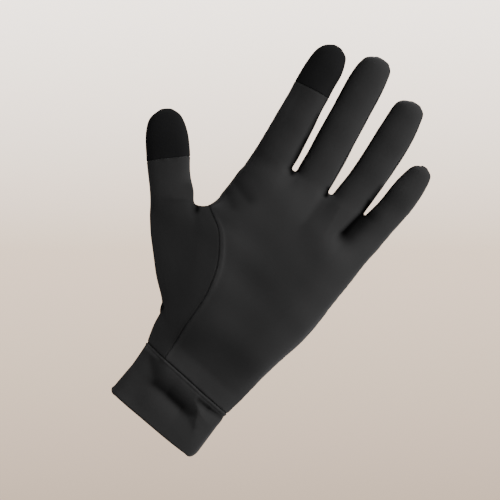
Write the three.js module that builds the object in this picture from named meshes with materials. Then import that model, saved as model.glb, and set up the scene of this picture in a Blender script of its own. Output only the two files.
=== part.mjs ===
// A running glove for the left hand, lying on its back with the palm up.
// It is cut from thin stretch jersey and sewn from nine pieces: a palm panel, a back panel, three
// fourchettes that line the gaps between the fingers, a thumb panel that runs down to the wrist,
// two touch-screen caps on the index finger and the thumb, and a folded cuff.
// Millimetres. +X runs from the thumb to the little finger, +Y from the cuff to the fingertips and
// +Z up out of the palm. The origin is on the surface that the glove lies on, under its palm.
import * as THREE from "three";

const WALL = 1.2; // jersey with its brushed inner face
const CUFF_WALL = 2; // the cuff is folded double
const SEAM_GAP = 0.38; // between two pieces that meet at a seam

const LINES = 5; // lines that run up the front of each finger, and as many up its back
const FLATNESS = 0.82; // thickness of a finger against its width, where the piece has no own one
const MID_SHARE = 0.47; // height of the widest line against the thickness
const SIDE_ANGLE = { root: 27, tip: 14 }; // half height of the strip down a finger's side, degrees
const ROUND_TOP = 2.15; // exponents of the rounded sections: 2 is an ellipse, more is squarer
const ROUND_BACK = 2.7; // the back is flatter, because the glove lies on it

// Each row is a slice across the finger: its distance up the hand and the two edges of the outline.
// skew is how much further up its right edge lies than its left one, where a cap is sewn on askew.
// lift is how far the fingertip's underside stands off the surface, and tip is its furthest point.
const FINGERS = [
  {
    name: "index",
    lift: 3.5,
    tip: { x: -29.4, y: 122.2 },
    cap: 94.3,
    rows: [
      { y: 52, left: -37.2, right: -14.2 },
      { y: 57, left: -37.3, right: -14.5 },
      { y: 63.5, left: -37.5, right: -15.1 },
      { y: 70.5, left: -37.9, right: -15.8 },
      { y: 78, left: -38.2, right: -16.6 },
      { y: 86.5, left: -38.6, right: -17.8 },
      { y: 94.3, left: -39.2, right: -18.5, skew: 2.2 },
      { y: 102, left: -39.7, right: -19.1 },
      { y: 108, left: -39.6, right: -19.3 },
      { y: 113, left: -39.1, right: -20.2 },
      { y: 117, left: -37.7, right: -21.6 },
      { y: 119.7, left: -35.5, right: -23.2 },
      { y: 121.3, left: -33, right: -26 },
    ],
  },
  {
    name: "middle",
    lift: 4.5,
    tip: { x: -5, y: 129.6 },
    rows: [
      { y: 52, left: -11.9, right: 9.6 },
      { y: 57, left: -11.9, right: 9.2 },
      { y: 64, left: -12.1, right: 8.8 },
      { y: 72, left: -12.8, right: 8.3 },
      { y: 81, left: -13.5, right: 7.3 },
      { y: 91, left: -14.1, right: 6.5 },
      { y: 101, left: -14.9, right: 5.6 },
      { y: 110, left: -15.6, right: 4.9 },
      { y: 117, left: -15.6, right: 4 },
      { y: 122.5, left: -14.7, right: 3 },
      { y: 126, left: -13.2, right: 2 },
      { y: 128.3, left: -10, right: 0.1 },
    ],
  },
  {
    name: "ring",
    lift: 4,
    tip: { x: 23.5, y: 119.4 },
    rows: [
      { y: 52, left: 11.7, right: 32.2 },
      { y: 57, left: 12.5, right: 32.5 },
      { y: 64, left: 13.3, right: 32.9 },
      { y: 71, left: 13.7, right: 33.2 },
      { y: 79, left: 13.8, right: 33.5 },
      { y: 87.5, left: 13.7, right: 33.6 },
      { y: 96, left: 13.5, right: 33.4 },
      { y: 103.5, left: 13.5, right: 32.7 },
      { y: 109.5, left: 13.5, right: 31.7 },
      { y: 114, left: 14.2, right: 30.7 },
      { y: 116.8, left: 16.4, right: 29.6 },
      { y: 118.4, left: 19.4, right: 27.4 },
    ],
  },
  {
    name: "little",
    lift: 3,
    tip: { x: 46.5, y: 92.9 },
    rows: [
      { y: 52, left: 33.6, right: 51 },
      { y: 56, left: 34.4, right: 51.6 },
      { y: 61, left: 35.5, right: 52.4 },
      { y: 66.5, left: 36.3, right: 53.2 },
      { y: 72.5, left: 36.8, right: 53.7 },
      { y: 78.5, left: 37.6, right: 53.7 },
      { y: 84, left: 38.8, right: 53.4 },
      { y: 88, left: 40.1, right: 52.7 },
      { y: 90.5, left: 41.9, right: 51.6 },
      { y: 91.9, left: 44, right: 49.3 },
    ],
  },
];

// The thumb's slices lie square to its own axis, which leans from the hand's: along is measured up
// that axis from its root, side is the middle's shift to the right, and half the half width.
const THUMB = {
  root: { x: -58.6, y: -0.7 },
  lean: 36,
  lift: 7,
  flatness: 0.68,
  roundTop: 2.7,
  tip: { along: 53.3, side: -0.6 },
  cap: 25.6,
  rows: [
    { along: 0, side: 0, half: 12.4 },
    { along: 6.5, side: 0, half: 12.1 },
    { along: 13, side: -0.6, half: 11.7 },
    { along: 19.5, side: -1, half: 11.7 },
    { along: 25.6, side: -0.9, half: 12, skew: 1.6 },
    { along: 32, side: -0.9, half: 12.1 },
    { along: 38, side: -1, half: 11.8 },
    { along: 43, side: -1.1, half: 10.9 },
    { along: 47, side: -1.1, half: 9.5 },
    { along: 50, side: -0.8, half: 7.4 },
    { along: 52, side: -0.6, half: 4.5 },
  ],
};

// Rows across the hand from the wrist seam up to the fork between thumb and index finger. left and
// right are the outline, and seam is the thumb panel's curved seam.
const WRIST_ROWS = [
  { left: [-29.4, -71.4], seam: [-16.5, -73.6], right: [29.1, -80.8], thick: 19.9 },
  { left: [-30.8, -65], seam: [-16.4, -65.5], right: [31.8, -69.4], thick: 18.9 },
  { left: [-31.9, -58], seam: [-16.3, -57], right: [33.8, -58], thick: 21.1 },
  { left: [-32.8, -51], seam: [-16.3, -48.5], right: [36, -48], thick: 24.3 },
  { left: [-38.1, -44.5], seam: [-16, -40], right: [38.2, -39], thick: 25.9 },
  { left: [-44.4, -38.6], seam: [-16.2, -32], right: [40.7, -30.5], thick: 26.3 },
  { left: [-50.2, -32], seam: [-17.2, -24.4], right: [42.5, -22.5], thick: 26.5 },
  { left: [-55.6, -25.7], seam: [-18.8, -17.2], right: [43.6, -15.5], thick: 26.6 },
  { left: [-60.3, -20.1], seam: [-21.7, -10.2], right: [44.3, -8.7], thick: 26.6 },
  { left: [-63.9, -15.2], seam: [-26, -3], right: [44.7, -2], thick: 26.6 },
  { left: [-66.6, -11.3], seam: [-32, 4], right: [45.3, 4.5], thick: 26.5 },
  { left: [-68.6, -8], seam: [-40.8, 10], right: [46, 10.5], thick: 26.3 },
];

// Rows from that fork up to the forks of the fingers.
const KNUCKLE_ROWS = [
  { y: 16.5, left: -39.6, right: 46.6, thick: 25.8 },
  { y: 24, left: -38.5, right: 47.3, thick: 24.8 },
  { y: 32, left: -37.8, right: 48.2, thick: 23.6 },
  { y: 39, left: -37.5, right: 49.4, thick: 22.4 },
  { y: 44.5, left: -37.3, right: 50.1, thick: 21.3 },
  { y: 48.3, left: -37.2, right: 50.6, thick: 20.4 },
];
const EDGE_INSET = 1.3; // from the outline to the first line on the front and back
const EDGE_RISE = 21; // width over which the palm rises from the little finger's side
const BACK_RISE = 13; // width over which the back rounds down to the surface
const THUMB_LIP = 0.15; // share of its height that the thumb panel rises at its edge
const THUMB_LIP_WIDTH = 5;
const THUMB_SLOPE = 1.1; // exponent of its slope from there up to its seam, a little steeper there

// How far the valley below each fork runs down the palm, from the index finger's to the little one's,
// and how far the thumb's round section runs down its panel.
const VALLEYS = [17, 19, 34];
const THUMB_VALLEY = 9;
const THUMB_WEB = [-42.4, 8.9]; // the outline where the thumb's fork meets the hand

// Rows down the cuff, from the wrist seam to its open end.
const CUFF_ROWS = [
  { left: [-29.3, -74.3], right: [28.5, -83.2], thick: 20.6 },
  { left: [-29.2, -77.4], right: [28.6, -86], thick: 21.2 },
  { left: [-29.3, -80.7], right: [28.2, -89.1], thick: 21.6 },
  { left: [-29.4, -84], right: [28, -92.3], thick: 21.9 },
  { left: [-29.6, -87.3], right: [27.8, -95.5], thick: 21.9 },
  { left: [-30.1, -90.7], right: [27.6, -98.6], thick: 22 },
  { left: [-30.5, -94.2], right: [27.4, -101.8], thick: 22 },
  { left: [-31, -97.7], right: [27.2, -105], thick: 21.9 },
  { left: [-31.3, -100.7], right: [26.9, -107.9], thick: 21.7 },
  { left: [-31.5, -103.9], right: [26.2, -111.1], thick: 21.5 },
];
const CUFF_RISE = 19;
const CUFF_CORNER = 1.4; // how far the open end is rounded back at its two sides

// Creases press the front down along a line, and swellings raise it around a point.
const CREASES = [
  { from: [-22, -79], to: [-12, -86.5], width: 4, depth: 2 },
  { from: [-12, -86.5], to: [2, -88.6], width: 4.4, depth: 4.2 },
  { from: [2, -88.6], to: [16, -95], width: 3.8, depth: 3.4 },
  { from: [15.5, -84], to: [24, -84.2], width: 2.6, depth: 1.8 },
  { from: [-31, -51], to: [-23, -60], width: 2.5, depth: 1 },
  { from: [-64, -5], to: [-51, 4], width: 5, depth: 1 },
  { from: [31.2, 51], to: [28.8, 38.5], width: 3.6, depth: 3 },
  { from: [9, 48], to: [8.5, 32], width: 4, depth: 1.2 },
];
const SWELLINGS = [
  { at: [-28, -20], across: 13, along: 24, height: 1.8 },
  { at: [29, -30], across: 15, along: 28, height: 1.4 },
  { at: [2, -14], across: 17, along: 26, height: -2.4 },
  { at: [-19, -98], across: 9, along: 13, height: -3.2 },
];

const { degToRad, lerp, clamp, smoothstep } = THREE.MathUtils;
const between = (a, b, t) => [lerp(a[0], b[0], t), lerp(a[1], b[1], t)];
const distance = (a, b) => Math.hypot(b[0] - a[0], b[1] - a[1]);

// How far up a rounded edge has come, from 0 to 1, at a distance inward from it.
const rise = (inward, reach, power = 2) =>
  Math.pow(1 - Math.pow(1 - clamp(inward / reach, 0, 1), power), 1 / power);

// A coordinate of a rounded section, from the sine or cosine of the angle round it.
const rounded = (share, power) => Math.sign(share) * Math.pow(Math.abs(share), 2 / power);

function distanceToSegment(at, from, to) {
  const [dx, dy] = [to[0] - from[0], to[1] - from[1]];
  const along = ((at[0] - from[0]) * dx + (at[1] - from[1]) * dy) / (dx * dx + dy * dy);
  return distance(at, between(from, to, clamp(along, 0, 1)));
}

// How far the creases and swellings move the front at a place. Creases that meet don't add up.
function relief(at) {
  const pressed = CREASES.map(
    ({ from, to, width, depth }) =>
      depth * Math.exp(-Math.pow(distanceToSegment(at, from, to) / width, 2)),
  );
  const raised = SWELLINGS.map(
    ({ at: [x, y], across, along, height }) =>
      height * Math.exp(-Math.pow((at[0] - x) / across, 2) - Math.pow((at[1] - y) / along, 2)),
  );
  return raised.reduce((sum, height) => sum + height, 0) - Math.max(...pressed);
}

// The skin of the whole glove: its points, and its faces with the piece that each belongs to.
// A ring is a slice's lines over the front and back, left to right, and a mid line at each edge.
const points = [];
const faces = [];
const addPoint = ([x, y], z) => points.push(new THREE.Vector3(x, y, z)) - 1;

function addStrip(pieceAt, lower, upper) {
  for (let i = 0; i + 1 < lower.length; i++) {
    faces.push({ piece: pieceAt(i), corners: [lower[i], lower[i + 1], upper[i + 1], upper[i]] });
  }
}

// Joins two rings with faces. pieces names the piece at each line of the front, the back, the upper
// and lower half of the left edge, and those of the right edge.
function joinRings(lower, upper, pieces) {
  const end = lower.front.length - 1;
  const around = (side) => [...side].reverse();
  addStrip(pieces.front, lower.front, upper.front);
  addStrip((i) => pieces.back(end - 1 - i), around(lower.back), around(upper.back));
  const left = ({ front, back, leftMid }) => [back[0], leftMid, front[0]];
  const right = ({ front, back, rightMid }) => [front[end], rightMid, back[end]];
  addStrip((i) => pieces.left[1 - i], left(lower), left(upper));
  addStrip((i) => pieces.right[i], right(lower), right(upper));
}

// Closes the end of a fork with an upright strip from one finger's side to the next one's.
function joinWeb(piece, leftSide, rightSide) {
  for (const i of [0, 1]) {
    addStrip(() => piece, [leftSide[i], rightSide[i]], [leftSide[i + 1], rightSide[i + 1]]);
  }
}

// The ring of a finger or thumb at a slice, as places and heights.
function tubeRing(slice) {
  const { centre, half, skew = 0, lean, mid, sideAngle } = slice;
  const { flatness = FLATNESS, roundTop = ROUND_TOP } = slice;
  const [c, s] = [Math.cos(degToRad(lean)), Math.sin(degToRad(lean))];
  const place = (across) => {
    const up = (skew / 2) * (across / half);
    return [centre[0] + across * c - up * s, centre[1] + across * s + up * c];
  };
  const up = 2 * (1 - MID_SHARE) * flatness * half;
  const down = 2 * MID_SHARE * flatness * half;
  const lines = Array.from({ length: LINES }, (_, i) => {
    const angle = degToRad(lerp(180 - sideAngle, sideAngle, i / (LINES - 1)));
    return {
      at: place(half * rounded(Math.cos(angle), roundTop)),
      front: mid + up * rounded(Math.sin(angle), roundTop),
      back: Math.max(0, mid - down * rounded(Math.sin(angle), ROUND_BACK)),
    };
  });
  return { lines, leftMid: { at: place(-half), z: mid }, rightMid: { at: place(half), z: mid } };
}

function fingerShape({ rows, tip, lift }) {
  const widest = Math.max(...rows.map(({ left, right }) => right - left));
  const length = tip.y - rows[0].y;
  const mid = (y) => MID_SHARE * FLATNESS * widest + lift * Math.pow((y - rows[0].y) / length, 2);
  const rings = rows.map(({ y, left, right, skew }, i) => {
    const sideAngle = lerp(SIDE_ANGLE.root, SIDE_ANGLE.tip, i / (rows.length - 1));
    const [centre, half] = [[(left + right) / 2, y], (right - left) / 2];
    return tubeRing({ centre, half, skew, lean: 0, mid: mid(y), sideAngle });
  });
  return { rings, tip: { at: [tip.x, tip.y], z: mid(tip.y) } };
}

function thumbShape({ root, lean, lift, flatness, roundTop, tip, rows }) {
  const [c, s] = [Math.cos(degToRad(lean)), Math.sin(degToRad(lean))];
  const place = (along, side) => [root.x - along * s + side * c, root.y + along * c + side * s];
  const widest = 2 * Math.max(...rows.map(({ half }) => half));
  const mid = (along) => MID_SHARE * flatness * widest + lift * Math.pow(along / tip.along, 1.5);
  const rings = rows.map(({ along, side, half, skew }) => {
    const tube = { centre: place(along, side), half, skew, lean, flatness, roundTop };
    return tubeRing({ ...tube, mid: mid(along), sideAngle: SIDE_ANGLE.root });
  });
  return { rings, tip: { at: place(tip.along, tip.side), z: mid(tip.along) } };
}

const pointsOfLines = (lines) => ({
  front: lines.map(({ at, front }) => addPoint(at, front)),
  back: lines.map(({ at, back }) => addPoint(at, back)),
});

const pointsOfRing = ({ lines, leftMid, rightMid }) => ({
  ...pointsOfLines(lines),
  leftMid: addPoint(leftMid.at, leftMid.z),
  rightMid: addPoint(rightMid.at, rightMid.z),
});

// Sews a finger's rings on to its root, and closes its tip. piecesAt gives the pieces at a row.
function addFinger({ rings, tip }, root, piecesAt) {
  const last = rings.length - 1;
  let ring = root;
  for (let row = 1; row <= last; row++) {
    const next = pointsOfRing(rings[row]);
    joinRings(ring, next, piecesAt(row - 1));
    ring = next;
  }
  const middle = rings[last].lines[(LINES - 1) / 2].at;
  const crown = rings[last].lines.slice(1, -1).map(({ at }) => {
    const inward = at === middle ? 1 : 0.8;
    const shift = [tip.at[0] - middle[0], tip.at[1] - middle[1]];
    return addPoint([at[0] + shift[0] * inward, at[1] + shift[1] * inward], tip.z);
  });
  const ridge = [ring.leftMid, ...crown, ring.rightMid];
  addStrip(piecesAt(last).front, ring.front, ridge);
  addStrip(piecesAt(last).back, ridge, ring.back);
}

const fingers = FINGERS.map(fingerShape);
const thumb = thumbShape(THUMB);
const rootLines = fingers.flatMap(({ rings }) => rings[0].lines);
const handEnd = rootLines.length - 1;
const forkY = FINGERS[0].rows[0].y;
const wristY = WRIST_ROWS[0].seam[1];

// Where a line of the hand crosses a row: evenly spaced at the wrist, and at the forks where the
// fingers' own lines start.
function handShare(line, y) {
  const [first, last] = [rootLines[0].at[0], rootLines[handEnd].at[0]];
  const atFork = (rootLines[line].at[0] - first) / (last - first);
  return lerp(line / handEnd, atFork, smoothstep(y, wristY, forkY));
}

// What is left of the fingers' sections in the palm, at a distance below their forks. It fades
// evenly along the middle of each finger and the edges of the hand, and fast below a fork.
function forkShape(line, below) {
  const fork = (line + 0.5) / LINES - 1;
  const between = clamp(fork, 0, VALLEYS.length - 1);
  const reach = lerp(VALLEYS[Math.floor(between)], VALLEYS[Math.ceil(between)], between % 1);
  const fromFork = LINES * Math.min(...VALLEYS.map((_, i) => Math.abs(fork - i)));
  const even = 1 - smoothstep(below, -0.15 * reach, reach);
  return lerp(1 - rise(below, reach, 1.5), even, clamp((fromFork - 0.5) / 2, 0, 1));
}

// The palm's heights at a place, from its distances inward from the edges.
function palmHeights(at, thick, edges, slope = 1) {
  const mid = MID_SHARE * thick;
  const share = edges.reduce((left, { inward, reach }) => left * rise(inward, reach), slope);
  const flat = edges.reduce((left, { inward }) => left * rise(inward, BACK_RISE), 1);
  return {
    at,
    front: mid + (thick - mid) * share + relief(at) * smoothstep(share, 0.2, 0.8),
    back: Math.max(0, mid * (1 - 1.05 * flat)),
  };
}

const mixed = (a, b, share) => ({
  at: a.at,
  front: lerp(a.front, b.front, share),
  back: lerp(a.back, b.back, share),
});

// The hand's lines across a row. edgesAt gives the edges that a place is measured from.
function handLines(left, right, thick, edgesAt) {
  return rootLines.map((root, line) => {
    const at = between(left, right, handShare(line, (left[1] + right[1]) / 2));
    const heights = palmHeights(at, thick, edgesAt(at));
    return mixed(heights, root, forkShape(line, forkY - at[1]));
  });
}

// The thumb's lines across a row of the wrist: even at the wrist seam, and fanned out at the fork.
const thumbRoot = thumb.rings[0];
const wristEnd = WRIST_ROWS.length - 1;

// How much of the thumb's round section is left in its panel, at a distance from its root.
const nearThumb = (at, rootAt) => 1 - rise(distance(at, rootAt), THUMB_VALLEY);

function thumbLines({ left, seam, thick }, row) {
  const width = distance(left, seam);
  const forkWidth = distance(WRIST_ROWS[wristEnd].left, WRIST_ROWS[wristEnd].seam);
  return thumbRoot.lines.map((root, i) => {
    if (row === wristEnd) return root;
    const even = lerp(EDGE_INSET / width, 1, i / LINES);
    const atFork = distance(thumbRoot.leftMid.at, root.at) / forkWidth;
    const at = between(left, seam, lerp(even, atFork, smoothstep(row, 0, wristEnd)));
    const inward = distance(left, at);
    const slope = lerp(THUMB_LIP, 1, Math.pow(inward / width, THUMB_SLOPE));
    const heights = palmHeights(at, thick, [{ inward, reach: THUMB_LIP_WIDTH }, webEdge(at)], slope);
    return mixed(heights, root, nearThumb(at, root.at));
  });
}

function webEdge(at) {
  const inward = distanceToSegment(at, thumbRoot.rightMid.at, THUMB_WEB) + EDGE_INSET / 2;
  return { inward, reach: EDGE_RISE };
}

const edgeMid = (at, thick) => addPoint(at, MID_SHARE * thick);

// The rows from the wrist seam to the thumb's fork, each a ring of the thumb's and the hand's lines.
const wristRings = WRIST_ROWS.map((row, i) => {
  const { left, seam, right, thick } = row;
  const edgesAt = (at) => [
    { inward: distance(at, right), reach: EDGE_RISE },
    webEdge(at),
  ];
  const inset = between(right, seam, EDGE_INSET / distance(seam, right));
  const lines = [...thumbLines(row, i), ...handLines(seam, inset, thick, edgesAt)];
  const edge = i === wristEnd ? thumbRoot.leftMid.at : left;
  const share = nearThumb(edge, thumbRoot.leftMid.at);
  const leftMid = addPoint(edge, lerp(MID_SHARE * thick, thumbRoot.leftMid.z, share));
  return { ...pointsOfLines(lines), leftMid, rightMid: edgeMid(right, thick) };
});

const PALM = "palm_panel";
const BACK = "back_panel";
const THUMB_PANEL = "thumb_panel";
const whole = (piece) => () => piece;

const wristPieces = {
  front: (line) => (line < LINES ? THUMB_PANEL : PALM),
  back: (line) => (line < LINES ? THUMB_PANEL : BACK),
  left: [THUMB_PANEL, THUMB_PANEL],
  right: [PALM, BACK],
};
for (let i = 0; i < wristEnd; i++) {
  joinRings(wristRings[i], wristRings[i + 1], wristPieces);
}

// The thumb, from the left part of the last of those rings.
const crotch = wristRings[wristEnd];
const thumbRootPoints = {
  front: crotch.front.slice(0, LINES),
  back: crotch.back.slice(0, LINES),
  leftMid: crotch.leftMid,
  rightMid: addPoint(thumbRoot.rightMid.at, thumbRoot.rightMid.z),
};
const tubePieces = (piece) => ({
  front: whole(piece),
  back: whole(piece),
  left: [piece, piece],
  right: [piece, piece],
});
const thumbCapRow = THUMB.rows.findIndex(({ along }) => along === THUMB.cap);
addFinger(thumb, thumbRootPoints, (row) =>
  tubePieces(row < thumbCapRow ? THUMB_PANEL : "thumb_tip"),
);

// The hand, from the right part of that ring up to the fingers' forks.
const handRing = {
  front: crotch.front.slice(LINES),
  back: crotch.back.slice(LINES),
  leftMid: edgeMid(THUMB_WEB, WRIST_ROWS[wristEnd].thick),
  rightMid: crotch.rightMid,
};
const sideOf = ({ front, back, rightMid }) => [front.at(-1), rightMid, back.at(-1)];
joinWeb(THUMB_PANEL, sideOf(thumbRootPoints), [handRing.front[0], handRing.leftMid, handRing.back[0]]);

const knuckleRings = KNUCKLE_ROWS.map(({ y, left, right, thick }) => {
  const edgesAt = ([x]) => [
    { inward: x - left, reach: EDGE_RISE },
    { inward: right - x, reach: EDGE_RISE },
  ];
  const lines = handLines([left + EDGE_INSET, y], [right - EDGE_INSET, y], thick, edgesAt);
  const mid = (line, { z }) => lerp(MID_SHARE * thick, z, forkShape(line, forkY - y));
  return {
    ...pointsOfLines(lines),
    leftMid: addPoint([left, y], mid(0, fingers[0].rings[0].leftMid)),
    rightMid: addPoint([right, y], mid(handEnd, fingers.at(-1).rings[0].rightMid)),
  };
});
const rootPoints = fingers.map(({ rings }) => pointsOfRing(rings[0]));
const forkRing = {
  front: rootPoints.flatMap(({ front }) => front),
  back: rootPoints.flatMap(({ back }) => back),
  leftMid: rootPoints[0].leftMid,
  rightMid: rootPoints.at(-1).rightMid,
};
const handPieces = { front: whole(PALM), back: whole(BACK), left: [PALM, BACK], right: [PALM, BACK] };
[handRing, ...knuckleRings, forkRing].reduce((lower, upper) => {
  joinRings(lower, upper, handPieces);
  return upper;
});

// The fingers. A fourchette runs down the side of one finger, round the fork and up the next one.
const fourchette = (left) => `fourchette_${FINGERS[left].name}_${FINGERS[left + 1].name}`;
const leftSideOf = ({ front, back, leftMid }) => [front[0], leftMid, back[0]];
fingers.forEach((finger, i) => {
  const last = i === fingers.length - 1;
  const { cap, rows } = FINGERS[i];
  const lastRow = rows.length - 1;
  const inner = (piece, row) => (row < lastRow ? [piece, piece] : [PALM, BACK]);
  addFinger(finger, rootPoints[i], (row) => {
    if (cap && rows[row].y >= cap) return tubePieces(`${FINGERS[i].name}_tip`);
    return {
      front: whole(PALM),
      back: whole(BACK),
      left: i === 0 ? [PALM, BACK] : inner(fourchette(i - 1), row),
      right: last ? [PALM, BACK] : inner(fourchette(i), row),
    };
  });
  if (!last) joinWeb(fourchette(i), sideOf(rootPoints[i]), leftSideOf(rootPoints[i + 1]));
});

// The cuff, down from the wrist seam. Its lines keep the shares of the row that they start from.
const seamRow = WRIST_ROWS[0];
const seamWidth = distance(seamRow.left, seamRow.right);
const shareAtSeam = (point) =>
  distance(seamRow.left, [points[point].x, points[point].y]) / seamWidth;
const cuffShares = wristRings[0].front.map(shareAtSeam);
const cuffRings = CUFF_ROWS.map(({ left, right, thick }, row) => {
  const open = row === CUFF_ROWS.length - 1;
  const lines = cuffShares.map((share) => {
    const at = between(left, right, share);
    const edges = [left, right].map((edge) => ({ inward: distance(edge, at), reach: CUFF_RISE }));
    return palmHeights(at, thick, edges);
  });
  const corner = ([x, y]) => [x, open ? y + CUFF_CORNER : y];
  return {
    ...pointsOfLines(lines),
    leftMid: edgeMid(corner(left), thick),
    rightMid: edgeMid(corner(right), thick),
  };
});
[wristRings[0], ...cuffRings].reduce((upper, lower) => {
  joinRings(lower, upper, tubePieces("cuff"));
  return lower;
});

// Each piece is a wall: its part of the skin, the same part a wall's thickness further in, and a rim
// between the two. Its edges are drawn back a little from the seams.
const COLOURS = { jersey: 0x2c2c2d, touch: 0x141415 };
const MATERIALS = {
  jersey: { color: COLOURS.jersey, roughness: 0.82, metalness: 0 },
  touch: { color: COLOURS.touch, roughness: 0.9, metalness: 0 },
};

// The skin's normal at each point, from all the faces round it.
const normals = points.map(() => new THREE.Vector3());
for (const { corners } of faces) {
  const [a, b, c, d] = corners.map((corner) => points[corner]);
  const normal = c.clone().sub(a).cross(d.clone().sub(b));
  corners.forEach((corner) => normals[corner].add(normal));
}
normals.forEach((normal) => normal.normalize());

// The edges of a piece that have no other face of it on their far side.
function seamEdges(quads) {
  const edges = quads.flatMap((corners) => corners.map((a, i) => [a, corners[(i + 1) % 4], corners]));
  const known = new Set(edges.map(([a, b]) => `${a} ${b}`));
  return edges.filter(([a, b]) => !known.has(`${b} ${a}`));
}

// How far each point on a seam is drawn back into its piece.
function seamShifts(edges) {
  const inward = new Map();
  for (const [a, b, corners] of edges) {
    const along = points[b].clone().sub(points[a]).normalize();
    const middle = new THREE.Vector3();
    corners.forEach((corner) => middle.addScaledVector(points[corner], 1 / corners.length));
    const into = middle.sub(points[a]);
    into.addScaledVector(along, -into.dot(along)).normalize();
    for (const end of [a, b]) inward.set(end, [...(inward.get(end) ?? []), into]);
  }
  const shifts = new Map();
  for (const [point, [first, second = first]] of inward) {
    const size = SEAM_GAP / 2 / Math.max(0.3, 1 + first.dot(second));
    shifts.set(point, first.clone().add(second).multiplyScalar(size));
  }
  return shifts;
}

function wallGeometry(quads, wall) {
  const edges = seamEdges(quads);
  const shifts = seamShifts(edges);
  const used = [...new Set(quads.flat())];
  const order = new Map(used.map((point, i) => [point, i]));
  const outer = used.map((point) => points[point].clone().add(shifts.get(point) ?? new THREE.Vector3()));
  const inner = outer.map((place, i) => place.clone().addScaledVector(normals[used[i]], -wall));
  const triangles = [];
  const addQuad = (a, b, c, d) => triangles.push(a, b, c, a, c, d);
  for (const corners of quads) {
    const [a, b, c, d] = corners.map((corner) => order.get(corner));
    addQuad(a, b, c, d);
    const [e, f, g, h] = [a, b, c, d].map((corner) => corner + used.length);
    triangles.push(e, g, f, e, h, g);
  }
  for (const [from, to] of edges) {
    const [a, b] = [order.get(from), order.get(to)];
    addQuad(b, a, a + used.length, b + used.length);
  }
  const geometry = new THREE.BufferGeometry().setFromPoints([...outer, ...inner]);
  geometry.setIndex(triangles);
  geometry.computeVertexNormals();
  return geometry;
}

const glove = new THREE.Group();
for (const name of new Set(faces.map(({ piece }) => piece))) {
  const quads = faces.filter(({ piece }) => piece === name).map(({ corners }) => corners);
  const geometry = wallGeometry(quads, name === "cuff" ? CUFF_WALL : WALL);
  const settings = name.endsWith("_tip") ? MATERIALS.touch : MATERIALS.jersey;
  const mesh = new THREE.Mesh(geometry, new THREE.MeshStandardMaterial(settings));
  mesh.name = name;
  glove.add(mesh);
}

export default glove;
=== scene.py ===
# A running glove for the left hand, lying on its back with the palm up.
# Shapes are worked out in millimetres: +X runs from the thumb to the little finger, +Y from the
# cuff to the fingertips and +Z up out of the palm. A piece is turned into metres as it is cut.
import math
from itertools import zip_longest
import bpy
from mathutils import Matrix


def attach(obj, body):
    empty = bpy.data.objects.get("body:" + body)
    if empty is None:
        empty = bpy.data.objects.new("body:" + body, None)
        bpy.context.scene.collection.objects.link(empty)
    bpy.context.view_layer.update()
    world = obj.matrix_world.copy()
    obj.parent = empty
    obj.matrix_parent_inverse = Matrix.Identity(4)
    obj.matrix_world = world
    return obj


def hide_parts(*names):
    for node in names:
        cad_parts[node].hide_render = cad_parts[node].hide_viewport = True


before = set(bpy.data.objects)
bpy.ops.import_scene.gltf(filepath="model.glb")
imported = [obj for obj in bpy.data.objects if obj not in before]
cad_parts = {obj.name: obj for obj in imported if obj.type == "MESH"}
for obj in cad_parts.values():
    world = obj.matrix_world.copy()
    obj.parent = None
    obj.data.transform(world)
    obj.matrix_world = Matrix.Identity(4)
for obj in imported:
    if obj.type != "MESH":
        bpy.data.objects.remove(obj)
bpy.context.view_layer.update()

from types import SimpleNamespace

import bmesh
import bpy
import numpy as np
from mathutils import Vector, kdtree

# Form of the fingers
# Four tubes of thin stretch jersey, filled as a hand fills them and a little flattened underneath
# where the glove lies on them. Each has a row for each slice: its distance up the hand and the two
# edges of the outline.
LINES = 5  # lines that run up the front of each finger, and as many up its back
FINGER_FLATNESS = 0.82  # thickness of a finger against its width
MID_SHARE = 0.47  # height of the widest line against the thickness
SIDE_ANGLE_ROOT = 27  # half height of the strip down a finger's side, in degrees
SIDE_ANGLE_TIP = 14
ROUND_TOP = 2.15  # exponents of the rounded sections: 2 is an ellipse, more is squarer
ROUND_BACK = 2.7


def table(columns, *rows):
    """Rows with named columns. Columns left out at the end of a row are 0."""
    names = columns.split()
    return [SimpleNamespace(**dict(zip_longest(names, row, fillvalue=0))) for row in rows]


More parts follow.
